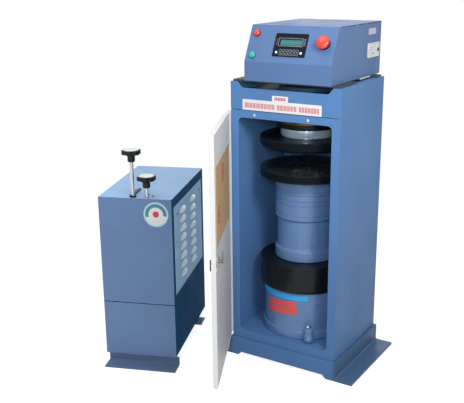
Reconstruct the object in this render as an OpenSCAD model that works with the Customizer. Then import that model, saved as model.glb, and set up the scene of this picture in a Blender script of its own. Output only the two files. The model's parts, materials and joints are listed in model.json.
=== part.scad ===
// Compression testing machine: a welded load frame with a hydraulic jack, a stack of
// spacers and two platens, a display console on top of it, a door, and a pump cabinet
// that stands beside it with two valve rods. Millimetres, X right, Y to the rear, Z up.

/* [Load frame] */
// Gap between the platens and the side plates
platen_side_gap = 15; // [12:1:35]
// Gap between the platens and the front and rear sheets
platen_end_gap = 6; // [5:1:25]
// Height from the crosshead's underside to the top edge
crown_height = 103; // [95:1:120]
// Thickness of the side plates
side_plate = 20; // [16:1:22]
// Height of the plinth
plinth_height = 62; // [56:1:70]
// Reach of the floor flanges beside the plinth
flange_reach = 58; // [40:2:70]
// Thickness of the foot angles and the plinth skirts
foot_leaf = 8; // [6:1:10]
// Height of the sill under the door opening
sill_height = 92; // [88:1:100]
// Height of the crosshead block
crosshead_height = 73; // [60:1:74]

/* [Test space] */
// Diameter of both platens
platen_diameter = 300; // [280:2:302]
// Thickness of the lower platen
lower_platen_height = 26; // [20:1:32]
// Thickness of the upper platen
upper_platen_height = 33; // [28:1:36]
// Gap between the platens
test_gap = 69; // [60:1:76]
// Diameter of the chromed ball seat
ball_seat_diameter = 170; // [164:2:172]

/* [Jack and spacers] */
// Diameter of the jack cylinder
jack_diameter = 266; // [250:2:268]
// Diameter of the ram
ram_diameter = 220; // [200:2:226]
// Diameter of the ram cover
cover_diameter = 295; // [290:1:300]
// Height of the ram cover's top above the floor
cover_top = 340; // [332:2:350]
// Height of the tall spacer
column_height = 132; // [100:2:190]
// Diameter of the tall spacer
column_diameter = 185; // [160:5:190]
// Diameter of the spacer discs
disc_diameter = 200; // [192:2:220]
// Thickness of a thin spacer disc
thin_disc = 15; // [12:1:16]
// Thickness of a medium spacer disc
medium_disc = 20; // [18:1:24]
// Thickness of a thick spacer disc
thick_disc = 35; // [30:1:40]

/* [Door] */
// Thickness of the door
door_thickness = 14; // [12:1:18]
// Angle at which the door stands open
door_open = 64; // [50:1:90]
// Distance of the latch from the door's free edge
latch_inset = 56; // [54:1:70]
// Diameter of the latch head
latch_head_diameter = 28; // [22:2:36]

/* [Console] */
// Width of the console
console_width = 286; // [270:2:310]
// Depth of the console
console_depth = 359; // [330:1:370]
// Height of the upright strip below the slope
console_lower = 58; // [48:1:65]
// Rise of the sloped front
console_rise = 104; // [98:1:115]
// Run of the sloped front
console_run = 50; // [40:1:56]
// Diameter of the stop button
stop_diameter = 40; // [34:2:46]
// Diameter of the small buttons
button_diameter = 22; // [18:1:24]

/* [Pump cabinet] */
// Width of the pump cabinet
pump_width = 238; // [230:2:260]
// Depth of the pump cabinet
pump_depth = 412; // [395:2:430]
// Height of the pump cabinet
pump_height = 564; // [550:2:600]
// Height of the seam between the front panels
pump_seam = 212; // [200:2:230]
// Turn of the pump cabinet towards the user
pump_turn = 21; // [12:1:28]
// Gap between the pump cabinet's near corner and the load frame
pump_gap = 107; // [95:1:140]
// Distance from one louvre to the next
louvre_pitch = 31; // [26:1:44]
// Length of a louvre
louvre_length = 88; // [70:2:90]
// Diameter of the valve knobs
knob_diameter = 60; // [54:2:70]
// Height of the tall valve's knob above the cabinet
tall_rod = 112; // [95:1:140]
// Height of the short valve's knob above the cabinet
short_rod = 31; // [26:1:40]

/* [Hidden] */
$fn = 96;
eps = 0.01;

// Paint and metal colours
panel_blue = [0.37, 0.50, 0.70];
dark_blue = [0.13, 0.27, 0.40];
door_white = [0.90, 0.90, 0.89];
black_steel = [0.09, 0.09, 0.10];
bright_steel = [0.75, 0.76, 0.78];
brass = [0.72, 0.56, 0.26];
signal_red = [0.86, 0.16, 0.10];
signal_green = [0.08, 0.62, 0.52];

// Heights of the stack on the jack, from the floor upwards
disc_heights = [medium_disc, thick_disc, thin_disc, medium_disc, thick_disc + thin_disc];
function stack(n) = n == 0 ? 0 : disc_heights[n - 1] + stack(n - 1);
collar_height = 44;
neck_height = 28;
discs_bottom = cover_top + column_height;
lower_face = discs_bottom + stack(len(disc_heights)) + lower_platen_height;
upper_face = lower_face + test_gap;
platen_top = upper_face + upper_platen_height;
collar_bottom = platen_top + neck_height;
crosshead_bottom = collar_bottom + collar_height;
frame_height = crosshead_bottom + crown_height;

// Load frame
jack_flange_radius = 138;
front_sheet = 4;
rear_sheet = 4;
plate_clear = 8;
chamber_clear = 8;
widest_jack = max(cover_diameter, 2 * jack_flange_radius) + 2 * chamber_clear;
inner_width = max(platen_diameter + 2 * platen_side_gap, widest_jack);
inner_depth = max(platen_diameter + 2 * platen_end_gap, widest_jack);
frame_width = inner_width + 2 * side_plate;
frame_depth = inner_depth + front_sheet + rear_sheet;
jamb_lip = 7;
opening_width = inner_width - 2 * jamb_lip;
opening_margin = 110;
opening_top = frame_height - opening_margin;
opening_corner = 14;
band_height = 86;
seam_height = frame_height - band_height;
seam_gap = 1.5;
axis_y = frame_depth / 2;
plinth_proud = foot_leaf;
skirt_notch = 12;
skirt_foot = 24;
bolster_bottom = 48;
angle_fillet = 6;

// Bulkhead port at the back
port_x = 90;
port_z = 130;
port_radius = 11;
port_fit = 0.05;
port_stub = 22;

// Trapezoid cut-out in the top edge
cut_top = 320;
cut_bottom = 290;
cut_depth = 18;
cut_corner = 8;
cut_slope = atan2(cut_depth, (cut_top - cut_bottom) / 2);
cut_tangent = cut_corner * tan(cut_slope / 2);

// Crosshead and spherical seat
crosshead_inset = 40;
crosshead_chamfer = 6;
seat_top = crosshead_bottom;
seat_radius = 92;
seat_clear = 0.3;
ledge_height = platen_top + 26;
skirt_wall = 7;
collar_radius = ball_seat_diameter / 2 + 7 + skirt_wall;
recess_height = ledge_height + 6;
brass_bottom = collar_bottom + 17;
brass_height = 6;
bolt_radius = 8;
bolt_hole = 22;
flange_radius = 92;
flange_height = 14;
crosshead_top = crosshead_bottom + crosshead_height;
nut_radius = 27;
nut_height = 10;
nut_clear = 2.5;

// Jack, ram and spacers
jack_flange_height = 28;
jack_floor = sill_height;
jack_wall_bottom = 20;
ram_fit = 0.05;
cover_height = 90;
cover_lid = 15;
cover_wall = 8;
ram_above_jack = 50;
jack_top = cover_top - ram_above_jack;
spigot_radius = 20;
spigot_height = 5;
spigot_clear = 0.3;
edge_chamfer = 1.6;
disc_foot = 7;

// Pressure union at the jack's base
union_angle = -58;
union_reach = jack_flange_radius + 18;
union_radius = 16;
union_height = sill_height + 13;
coupling_radius = 15;
coupling_bottom = sill_height + 22;
coupling_height = 28;

// Hinges and door, drawn closed from the hinge axis
hinge_x = -frame_width / 2 - 7;
hinge_y = -11;
barrel_radius = 6;
pin_radius = 3.5;
pin_fit = 0.05;
knuckle = 30;
knuckle_gap = 0.4;
hinge_levels = [sill_height + 40, seam_height - 70];
strip_width = 12;
strip_front = 3;
strip_depth = 9;
door_start = 8;
door_end = frame_width + 10;
door_inner = 9;
door_outer = door_inner - door_thickness;
door_bottom = sill_height - 14;
door_top = seam_height - 6;
door_skin = 2;
liner_inset = 1;
liner_sheet = 1.5;
latch_x = door_end - latch_inset;
latch_z = 452;
latch_spindle = 5;
latch_fit = 0.06;
latch_gap = 0.3;
latch_grip = 4;
cam_catch = 5;
cam_length = opening_width / 2 + cam_catch - hinge_x - latch_x;
cam_width = 14;
cam_sheet = 3;
cam_gap = 10;

// Console on the frame
console_x = 13.5;
console_y = -9.5;
rail_height = 6;
console_floor = frame_height + rail_height;
console_sheet = 2;
slope_angle = atan2(console_run, console_rise);
slope_length = sqrt(console_run * console_run + console_rise * console_rise);
console_top = console_lower + console_rise;
display_size = [106, 71];
display_depth = 14;
display_at = [0.5, slope_length * 0.474];
display_rim = 4;
lcd_size = [70, 18];
lcd_at = [2, 7];
lcd_set = 1.5;
lamp_x = -console_width / 2 + 24;
red_at = [lamp_x, slope_length - 27];
green_at = [lamp_x, 19.5];
stop_at = [console_width / 2 - 34, slope_length * 0.54];
socket_at = [console_depth - 60, 77.5];
socket_size = [82, 38];
socket_rim = 3;
socket_hole = [31, -1.5];
socket_radius = 7;
stop_hole = 11;
stop_stem = 8;
stop_fit = 0.05;
stop_seat = 6;
button_hole = button_diameter / 2 - 3;
button_fit = 0.06;
button_travel = 2.5;
stop_travel = 4;

// Pump cabinet, drawn from its front left corner at the floor
pump_near_x = -frame_width / 2 - pump_gap;
pump_near_y = -179;
pump_sheet = 2;
pump_seam_gap = 2;
pump_front_drop = 2;
pump_foot = 30;
pump_foot_reach = 50;
pump_foot_leaf = 5;
pump_foot_shift = 9;
rear_foot_set = 92;
bezel_front = 24;
bezel_rear = 28;
bezel_top = 31;
panel_bottom = 240;
panel_height = pump_height - bezel_top - panel_bottom;
panel_width = pump_depth - bezel_front - bezel_rear;
louvre_height = 17;
louvre_margin = 30;
louvre_count = floor((panel_height - 2 * louvre_margin) / louvre_pitch) + 1;
louvre_out = 9;
louvre_lip = 1.5;
louvre_slot = 9;
near_column = 0.314;
far_column = 0.70;
function louvre_centre(col) = panel_width * (col == 0 ? near_column : far_column);
spindle_radius = 6;
spindle_fit = 0.05;
spindle_y = 18;
tall_x = 110;
short_x = 155.5;
knob_socket = 14;
block_height = 40;
block_width = 90;
block_depth = 50;
spindle_depth = 30;
hub_height = 25;
head_height = 13;
tank_gap = 24;
tank_height = 150;
motor_radius = 62;
motor_height = 150;

// The origin is the middle of the whole footprint, at the floor
function turned(p, a) = [p[0] * cos(a) - p[1] * sin(a), p[0] * sin(a) + p[1] * cos(a)];
pump_corners = [
  for (x = [-pump_width, 0], y = [0, pump_depth])
    [pump_near_x, pump_near_y] + turned([x, y], pump_turn)
];
foot_corners = [
  for (x = [pump_foot_shift - pump_width, pump_foot_shift], y = [-pump_foot_reach, pump_sheet])
    [pump_near_x, pump_near_y] + turned([x, y], pump_turn)
];
door_corners = [
  for (x = [door_start, door_end], y = [door_outer, door_inner])
    [hinge_x, hinge_y] + turned([x, y], -door_open)
];
frame_corners = [
  for (s = [-1, 1], y = [-plinth_proud, max(frame_depth + plinth_proud, console_y + console_depth)])
    [s * (frame_width / 2 + plinth_proud + flange_reach), y]
];
latch_corner = [latch_x - latch_head_diameter / 2, door_outer - latch_gap - latch_grip];
latch_end = [hinge_x, hinge_y] + turned(latch_corner, -door_open);
port_end = [port_x, frame_depth + port_stub];
corners = concat(pump_corners, foot_corners, door_corners, frame_corners, [latch_end, port_end]);
low_x = min([for (p = corners) p[0]]);
high_x = max([for (p = corners) p[0]]);
low_y = min([for (p = corners) p[1]]);
high_y = max([for (p = corners) p[1]]);

module place_frame() {
  translate([-(low_x + high_x) / 2, -(low_y + high_y) / 2, 0]) children();
}

module place_axis() {
  place_frame() translate([0, axis_y, 0]) children();
}

module place_hinge() {
  place_frame() translate([hinge_x, hinge_y, 0]) children();
}

module place_door() {
  place_hinge() rotate([0, 0, -door_open]) children();
}

module place_console() {
  place_frame() translate([console_x, console_y, console_floor]) children();
}

// The slope's own plane: X across, Y up the slope, Z out of the console
module place_slope() {
  place_console() translate([0, 0, console_lower]) rotate([90 - slope_angle, 0, 0]) children();
}

module place_pump() {
  place_frame()
    translate([pump_near_x, pump_near_y, 0])
      rotate([0, 0, pump_turn])
        translate([-pump_width, 0, 0]) children();
}

// A sheet whose outline lies in the XZ plane, with its front face at y = 0
module upright(thick) {
  translate([0, thick, 0]) rotate([90, 0, 0]) linear_extrude(thick) children();
}

// A rectangle with round corners, centred
module soft_rect(w, h, r) {
  square([w - 2 * r, h], center = true);
  square([w, h - 2 * r], center = true);
  for (sx = [-1, 1], sy = [-1, 1])
    translate([sx * (w / 2 - r), sy * (h / 2 - r)]) circle(r, $fn = 48);
}

// A solid of revolution with a chamfer on both edges
module chamfered_disc(r, h, c) {
  rotate_extrude()
    polygon([[0, 0], [r - c, 0], [r, c], [r, h - c], [r - c, h], [0, h]]);
}

module side_plate(side) {
  run = frame_depth - front_sheet - rear_sheet;
  color(panel_blue)
    place_frame()
      translate([side * (frame_width - side_plate) / 2 - side_plate / 2, front_sheet, plate_clear])
        cube([side_plate, run, frame_height - plate_clear]);
}

module front_panel() {
  height = seam_height - seam_gap / 2 - plinth_height;
  opening_height = opening_top - sill_height;
  color(panel_blue)
    place_frame()
      upright(front_sheet)
        difference() {
          translate([-frame_width / 2, plinth_height]) square([frame_width, height]);
          translate([0, sill_height + opening_height / 2])
            soft_rect(opening_width, opening_height, opening_corner);
        }
}

module cut_outline() {
  half_top = cut_top / 2;
  half_bottom = cut_bottom / 2;
  away = [cos(cut_slope), sin(cut_slope)] * cut_tangent;
  polygon([
    [-half_top - 1, cut_depth + 1], [-half_top, cut_depth], [-half_bottom - away[0], away[1]],
    [-half_bottom + cut_tangent, 0], [half_bottom - cut_tangent, 0],
    [half_bottom + away[0], away[1]], [half_top, cut_depth], [half_top + 1, cut_depth + 1]
  ]);
}

module top_cover() {
  bottom = seam_height + seam_gap / 2;
  color(panel_blue)
    place_frame()
      upright(front_sheet)
        difference() {
          translate([-frame_width / 2, bottom]) square([frame_width, frame_height - bottom]);
          translate([0, frame_height - cut_depth]) cut_outline();
        }
}

module rear_panel() {
  color(panel_blue)
    place_frame()
      translate([0, frame_depth - rear_sheet, 0])
        upright(rear_sheet)
          difference() {
            translate([-frame_width / 2, plinth_height])
              square([frame_width, frame_height - plinth_height]);
            translate([port_x, port_z]) circle(port_radius);
          }
}

module rear_port() {
  nut = 8;
  nut_reach = 5;
  step = 3;
  color(bright_steel)
    place_frame()
      translate([port_x, frame_depth, port_z])
        rotate([-90, 0, 0]) {
          translate([0, 0, -rear_sheet]) cylinder(r = port_radius - port_fit, h = rear_sheet);
          cylinder(r = port_radius + nut_reach, h = nut, $fn = 6);
          cylinder(r = port_radius - step, h = port_stub);
        }
}

module crosshead() {
  depth = frame_depth - rear_sheet - crosshead_inset;
  c = crosshead_chamfer;
  h = crosshead_height;
  color(black_steel)
    place_frame()
      difference() {
        translate([-inner_width / 2, crosshead_inset, crosshead_bottom])
          rotate([90, 0, 90])
            linear_extrude(inner_width)
              polygon([[c, 0], [depth, 0], [depth, h], [c, h], [0, h - c], [0, c]]);
        translate([0, axis_y, crosshead_bottom - 1]) cylinder(r = bolt_hole, h = h + 2);
      }
}

module base_bolster() {
  run = frame_depth - front_sheet - rear_sheet;
  color(panel_blue)
    place_frame()
      translate([-inner_width / 2, front_sheet, bolster_bottom])
        cube([inner_width, run, sill_height - bolster_bottom]);
}

module foot_angle(side) {
  length = frame_depth + 2 * plinth_proud;
  color(dark_blue)
    place_frame()
      mirror([side < 0 ? 1 : 0, 0, 0])
        translate([frame_width / 2, length - plinth_proud, 0])
          rotate([90, 0, 0])
            linear_extrude(length) {
              square([foot_leaf, plinth_height]);
              square([foot_leaf + flange_reach, foot_leaf]);
              translate([foot_leaf, foot_leaf])
                difference() {
                  square(angle_fillet);
                  translate([angle_fillet, angle_fillet]) circle(angle_fillet, $fn = 32);
                }
            }
}

module skirt_outline() {
  half = frame_width / 2;
  inner = half - skirt_foot;
  polygon([
    [-half, 0], [-inner, 0], [-inner + skirt_notch, skirt_notch],
    [inner - skirt_notch, skirt_notch], [inner, 0], [half, 0],
    [half, plinth_height], [-half, plinth_height]
  ]);
}

module plinth_skirts() {
  color(panel_blue)
    place_frame() {
      translate([0, -plinth_proud, 0]) upright(plinth_proud + front_sheet) skirt_outline();
      translate([0, frame_depth - rear_sheet, 0])
        upright(plinth_proud + rear_sheet) skirt_outline();
    }
}

module hinge_strip() {
  color(door_white)
    place_frame()
      translate([-frame_width / 2 - strip_width, -strip_front, door_bottom])
        cube([strip_width, strip_depth + strip_front, door_top - door_bottom]);
}

// Lower half of a lift-off hinge, with its pin
module hinge_fixed(level) {
  leaf = 8;
  pin_gap = 2;
  reach = -hinge_y - strip_front;
  color(bright_steel)
    place_hinge()
      translate([0, 0, level - knuckle]) {
        cylinder(r = barrel_radius, h = knuckle);
        cylinder(r = pin_radius, h = 2 * knuckle - pin_gap);
        translate([-leaf / 2, 0, 0]) cube([leaf, reach, knuckle]);
      }
}

// Upper half of the hinge, welded to the door's edge
module hinge_moving(level) {
  leaf = 6;
  color(bright_steel)
    place_door()
      translate([0, 0, level + knuckle_gap])
        difference() {
          union() {
            cylinder(r = barrel_radius, h = knuckle);
            translate([0, -leaf / 2, 0]) cube([door_start, leaf, knuckle]);
          }
          translate([0, 0, -1]) cylinder(r = pin_radius + pin_fit, h = knuckle - knuckle_gap);
        }
}

// Folded door pan: an outer skin and four edges turned towards the frame
module door_shell() {
  width = door_end - door_start;
  height = door_top - door_bottom;
  color(door_white)
    place_door()
      difference() {
        translate([door_start, door_outer, door_bottom]) cube([width, door_thickness, height]);
        translate([door_start + door_skin, door_outer + door_skin, door_bottom + door_skin])
          cube([width - 2 * door_skin, door_thickness, height - 2 * door_skin]);
        translate([latch_x, door_inner + 1, latch_z])
          rotate([90, 0, 0]) cylinder(r = latch_spindle + latch_fit, h = door_thickness + 2);
      }
}

// Inner lining of the door, set just inside the folded edges
module door_liner() {
  width = door_end - door_start - 2 * door_skin;
  height = door_top - door_bottom - 2 * door_skin;
  depth = door_thickness - door_skin - liner_inset - liner_sheet + eps;
  rim = 3;
  rib = 20;
  rib_places = [0.25, 0.75];
  color(door_white)
    place_door()
      difference() {
        union() {
          translate([door_start + door_skin, door_inner - liner_inset - liner_sheet, 0])
            translate([0, 0, door_bottom + door_skin]) cube([width, liner_sheet, height]);
          for (part = rib_places)
            translate([door_start + door_skin + width * part - rib / 2, door_outer + door_skin, 0])
              translate([0, 0, door_bottom + door_skin]) cube([rib, depth, height]);
        }
        translate([latch_x, door_inner + 1, latch_z])
          rotate([90, 0, 0]) cylinder(r = latch_spindle + rim, h = door_thickness + 2);
      }
}

// Flat round head on the spindle, with a square recess for the key
module latch_head() {
  r = latch_head_diameter / 2;
  edge = 1;
  key = 8;
  key_depth = 3;
  color(black_steel)
    place_door()
      translate([latch_x, door_outer - latch_gap, latch_z])
        rotate([90, 0, 0])
          difference() {
            rotate_extrude()
              polygon([[0, 0], [r, 0], [r, latch_grip - edge], [r - edge, latch_grip], [0, latch_grip]]);
            translate([-key / 2, -key / 2, latch_grip - key_depth]) cube([key, key, key_depth + 1]);
          }
}

// Spindle through the door with the cam that turns behind the jamb
module latch_cam() {
  color(bright_steel)
    place_door()
      translate([latch_x, door_outer, latch_z]) {
        translate([0, -latch_gap, 0])
          rotate([-90, 0, 0])
            cylinder(r = latch_spindle, h = latch_gap + door_thickness + cam_gap + cam_sheet);
        translate([0, door_thickness + cam_gap, 0])
          upright(cam_sheet) {
            circle(cam_width / 2);
            translate([-cam_width / 2, 0]) square([cam_width, cam_length - cam_width / 2]);
            translate([0, cam_length - cam_width / 2]) circle(cam_width / 2);
          }
      }
}

module jack_cylinder() {
  r = jack_diameter / 2;
  bore = ram_diameter / 2 + ram_fit;
  f = jack_flange_radius;
  fh = jack_flange_height;
  h = jack_top - jack_floor;
  lower_edge = 2;
  upper_edge = 3;
  color(panel_blue)
    place_axis()
      translate([0, 0, jack_floor])
        rotate_extrude()
          polygon([
            [0, 0], [f - lower_edge, 0], [f, lower_edge], [f, fh - upper_edge], [f - upper_edge, fh],
            [r, fh], [r, h - lower_edge], [r - lower_edge, h], [bore, h],
            [bore, jack_wall_bottom], [0, jack_wall_bottom]
          ]);
}

// Oil inlet beside the jack: a ball body on the base with a round coupling on it
module pressure_union() {
  neck = 8;
  groove = 1.5;
  groove_low = 12;
  groove_high = 15;
  edge = 2;
  r = coupling_radius;
  h = coupling_height;
  color(panel_blue)
    place_axis()
      rotate([0, 0, union_angle]) {
        translate([jack_flange_radius, 0, union_height])
          rotate([0, 90, 0]) cylinder(r = neck, h = union_reach - jack_flange_radius);
        translate([union_reach, 0, 0])
          intersection() {
            translate([0, 0, union_height]) sphere(r = union_radius);
            translate([0, 0, sill_height]) cylinder(r = union_radius + 1, h = 2 * union_radius);
          }
        translate([union_reach, 0, coupling_bottom])
          rotate_extrude()
            polygon([
              [0, 0], [r - edge, 0], [r, edge], [r, groove_low], [r - groove, groove_low],
              [r - groove, groove_high], [r, groove_high], [r, h - edge], [r - edge, h], [0, h]
            ]);
      }
}

module bleed_screw() {
  stem = 4;
  stem_height = 3;
  head = 8;
  head_height = 6;
  color(bright_steel)
    place_axis()
      rotate([0, 0, union_angle])
        translate([union_reach, 0, coupling_bottom + coupling_height]) {
          cylinder(r = stem, h = stem_height);
          translate([0, 0, stem_height]) cylinder(r = head, h = head_height, $fn = 6);
        }
}

module ram() {
  bottom = jack_floor + jack_wall_bottom;
  edge = 2;
  color(bright_steel)
    place_axis()
      translate([0, 0, bottom])
        chamfered_disc(ram_diameter / 2, cover_top - cover_lid - bottom, edge);
}

// Black cover whose skirt hangs round the top of the jack
module ram_cover() {
  r = cover_diameter / 2;
  inner = r - cover_wall;
  h = cover_height;
  edge = 2;
  turn_in = 7;
  turn_up = 8;
  color(black_steel)
    place_axis()
      translate([0, 0, cover_top - h])
        rotate_extrude()
          polygon([
            [inner, 0], [r - turn_in, 0], [r, turn_up], [r, h - edge], [r - edge, h],
            [0, h], [0, h - cover_lid], [inner, h - cover_lid]
          ]);
}

// A spacer with a spigot on top and a matching recess below
module spacer(r, h, foot) {
  s = spigot_radius;
  c = edge_chamfer;
  recess = s + spigot_clear;
  recess_height = spigot_height + spigot_clear;
  rotate_extrude()
    polygon([
      [0, recess_height], [recess, recess_height], [recess, 0], [r - foot, 0], [r, foot],
      [r, h - c], [r - c, h], [s, h], [s, h + spigot_height], [0, h + spigot_height]
    ]);
}

// The tall spacer stands on a wider foot, with a taper up to its barrel
module column_spacer() {
  r = column_diameter / 2;
  wide = disc_diameter / 2;
  h = column_height;
  foot_height = 34;
  foot_edge = 3;
  taper = foot_height + wide - r;
  s = spigot_radius;
  c = edge_chamfer;
  recess = s + spigot_clear;
  recess_height = spigot_height + spigot_clear;
  color(panel_blue)
    place_axis()
      translate([0, 0, cover_top])
        rotate_extrude()
          polygon([
            [0, recess_height], [recess, recess_height], [recess, 0], [wide - foot_edge, 0],
            [wide, foot_edge], [wide, foot_height], [r, taper], [r, h - c], [r - c, h],
            [s, h], [s, h + spigot_height], [0, h + spigot_height]
          ]);
}

module disc(n, foot = edge_chamfer) {
  color(panel_blue)
    place_axis()
      translate([0, 0, discs_bottom + stack(n - 1)])
        spacer(disc_diameter / 2, disc_heights[n - 1], foot);
}

// The top disc has a turned groove by which the stack is lifted
module grooved_disc(n) {
  color(panel_blue)
    difference() {
      disc(n);
      disc_groove(n);
    }
}

module disc_groove(n) {
  r = disc_diameter / 2;
  groove_height = 11;
  groove_width = 2.4;
  groove_depth = 1.8;
  place_axis()
    translate([0, 0, discs_bottom + stack(n - 1) + groove_height - groove_width / 2])
      difference() {
        cylinder(r = r + 1, h = groove_width);
        translate([0, 0, -1]) cylinder(r = r - groove_depth, h = groove_width + 2);
      }
}

module lower_platen() {
  r = platen_diameter / 2;
  h = lower_platen_height;
  recess = spigot_radius + spigot_clear;
  depth = spigot_height + spigot_clear;
  lower_edge = 2;
  upper_edge = 1.5;
  color(black_steel)
    place_axis()
      translate([0, 0, lower_face - h])
        rotate_extrude()
          polygon([
            [0, depth], [recess, depth], [recess, 0], [r - lower_edge, 0], [r, lower_edge],
            [r, h - upper_edge], [r - upper_edge, h], [0, h]
          ]);
}

// Fixed cup of the spherical seat, with a skirt round the ball seat's shoulder
module seat_collar() {
  outer = collar_radius;
  inner = collar_radius - skirt_wall;
  socket = seat_radius + seat_clear;
  groove = 2;
  edge = 2;
  color(black_steel)
    place_axis()
      difference() {
        rotate_extrude()
          polygon([
            [inner, collar_bottom], [outer - edge, collar_bottom], [outer, collar_bottom + edge],
            [outer, brass_bottom], [outer - groove, brass_bottom],
            [outer - groove, brass_bottom + brass_height], [outer, brass_bottom + brass_height],
            [outer, seat_top], [bolt_hole, seat_top], [bolt_hole, recess_height],
            [inner, recess_height]
          ]);
        translate([0, 0, upper_face]) sphere(r = socket, $fn = 128);
      }
}

module brass_ring() {
  groove = 2;
  band = 2.6;
  color(brass)
    place_axis()
      translate([0, 0, brass_bottom])
        rotate_extrude()
          translate([collar_radius - groove, 0]) square([band, brass_height]);
}

module upper_platen() {
  r = platen_diameter / 2;
  h = upper_platen_height;
  edge = 2;
  turn_in = 8;
  turn_up = 9;
  color(black_steel)
    place_axis()
      translate([0, 0, upper_face])
        rotate_extrude()
          polygon([[0, 0], [r - turn_in, 0], [r, turn_up], [r, h - edge], [r - edge, h], [0, h]]);
}

// Chromed seat: a cylinder with a groove, and a ball cap above its shoulder
module ball_seat() {
  r = ball_seat_diameter / 2;
  up = ledge_height - upper_face;
  cap = sqrt(seat_radius * seat_radius - up * up);
  start = asin(up / seat_radius);
  steps = 16;
  last = acos(bolt_radius / seat_radius);
  base = upper_platen_height;
  relief = 2;
  relief_top = 3;
  relief_end = 4;
  edge = 1;
  color(bright_steel)
    place_axis()
      translate([0, 0, upper_face])
        rotate_extrude()
          polygon(concat(
            [
              [0, base], [r - relief, base], [r - relief, base + relief_top],
              [r, base + relief_end], [r, up - edge], [r - edge, up], [cap, up]
            ],
            [
              for (i = [1 : steps])
                let(a = start + (last - start) * i / steps)
                  [seat_radius * cos(a), seat_radius * sin(a)]
            ],
            [[0, seat_radius * sin(last)]]
          ));
}

// Bolt that hangs the ball seat from the flange above the crosshead
module suspension_bolt() {
  start = sqrt(seat_radius * seat_radius - bolt_radius * bolt_radius);
  under = crosshead_top + flange_height + nut_clear - upper_face;
  top = under + nut_height;
  edge = 3;
  color(bright_steel)
    place_axis()
      translate([0, 0, upper_face])
        rotate_extrude()
          polygon([
            [0, start], [bolt_radius, start], [bolt_radius, under], [nut_radius, under],
            [nut_radius, top - edge], [nut_radius - edge, top], [0, top]
          ]);
}

module top_flange() {
  hole = bolt_hole;
  edge = 3;
  color(black_steel)
    place_axis()
      translate([0, 0, crosshead_top])
        rotate_extrude()
          polygon([
            [hole, 0], [flange_radius, 0], [flange_radius, flange_height - edge],
            [flange_radius - edge, flange_height], [hole, flange_height]
          ]);
}

module console_outline() {
  polygon([
    [0, 0], [0, console_lower], [console_run, console_top],
    [console_depth, console_top], [console_depth, 0]
  ]);
}

module console_inner() {
  t = console_sheet;
  polygon([
    [t, t], [t, console_lower], [console_run + t, console_top - t],
    [console_depth - t, console_top - t], [console_depth - t, t]
  ]);
}

// Folded housing: floor, two sides and the front with its slope; the lid closes it
module console_shell() {
  t = console_sheet;
  half = console_width / 2;
  socket_corner = socket_at - socket_size / 2;
  through = 20;
  color(panel_blue)
    difference() {
      place_console()
        difference() {
          translate([-half, 0, 0])
            rotate([90, 0, 90]) linear_extrude(console_width) console_outline();
          translate([-half + t, 0, 0])
            rotate([90, 0, 90]) linear_extrude(console_width - 2 * t) console_inner();
          translate([-half - 1, console_run + t, console_top - t])
            cube([console_width + 2, console_depth, t + 1]);
          translate([-half - 1, console_depth - t, -1])
            cube([console_width + 2, t + 1, console_top + 2]);
          translate([half - t - 1, socket_corner[0], socket_corner[1]])
            cube([t + 2, socket_size[0], socket_size[1]]);
        }
      place_slope() {
        translate([display_at[0], display_at[1], -through / 2])
          linear_extrude(through)
            square(display_size - [2 * display_rim, 2 * display_rim], center = true);
        for (at = [red_at, green_at])
          translate([at[0], at[1], -through / 2]) cylinder(r = button_hole, h = through);
        translate([stop_at[0], stop_at[1], -through / 2]) cylinder(r = stop_hole, h = through);
      }
    }
}

// Lid: the top and the back, folded from one sheet
module console_lid() {
  t = console_sheet;
  half = console_width / 2;
  color(panel_blue)
    place_console() {
      translate([-half, console_run + t, console_top - t])
        cube([console_width, console_depth - console_run - t, t]);
      translate([-half, console_depth - t, 0]) cube([console_width, t, console_top]);
    }
}

module console_rails() {
  edge = 6;
  front_rail = 84;
  middle_rail = 30;
  rear_rail = 34;
  middle_gap = 4;
  rear_inset = 10;
  middle_start = edge + front_rail + middle_gap;
  starts = [edge, middle_start, frame_depth - rear_inset - rear_rail];
  depths = [front_rail, middle_rail, rear_rail];
  color(black_steel)
    place_frame() {
      for (i = [0 : len(starts) - 1])
        translate([-frame_width / 2 + edge, starts[i], frame_height])
          cube([frame_width - 2 * edge, depths[i], rail_height]);
    }
}

module display_module() {
  flange = 3;
  corner = 3;
  inset = 9;
  body = display_size - [inset, inset];
  color(black_steel)
    place_slope()
      translate([display_at[0], display_at[1], 0])
        difference() {
          union() {
            linear_extrude(flange) soft_rect(display_size[0], display_size[1], corner);
            translate([0, 0, -display_depth]) linear_extrude(display_depth) square(body, center = true);
          }
          translate([lcd_at[0], lcd_at[1], lcd_set]) linear_extrude(flange) square(lcd_size, center = true);
        }
}

module lcd_window() {
  clear = 0.2;
  glass = 1;
  color(signal_green)
    place_slope()
      translate([display_at[0] + lcd_at[0], display_at[1] + lcd_at[1], lcd_set])
        linear_extrude(glass) square(lcd_size - [2 * clear, 2 * clear], center = true);
}

// Push button: a bezel flange fixed by its stem and a domed cap
module button(at) {
  stem = 18;
  lift = button_travel + 0.4;
  rim = button_diameter / 2 - 1.5;
  dome = rim - 2.5;
  side = 3;
  shoulder = 5;
  top = 5.6;
  place_slope()
    translate([at[0], at[1], 0]) {
      translate([0, 0, -stem]) cylinder(r = button_hole - button_fit, h = stem + lift);
      translate([0, 0, lift])
        rotate_extrude() polygon([[0, 0], [rim, 0], [rim, side], [dome, shoulder], [0, top]]);
    }
}

module red_button() {
  color(signal_red) button(red_at);
}

module green_button() {
  color(signal_green) button(green_at);
}

module stop_collar() {
  bore = stop_stem + stop_fit;
  neck = stop_hole - 0.2;
  depth = 22;
  rim = 17;
  rim_height = 4;
  edge = 2;
  color(black_steel)
    place_slope()
      translate([stop_at[0], stop_at[1], 0])
        rotate_extrude()
          polygon([
            [bore, -depth], [neck, -depth], [neck, 0], [rim, 0], [rim, rim_height],
            [rim - edge, stop_seat], [bore, stop_seat]
          ]);
}

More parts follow.
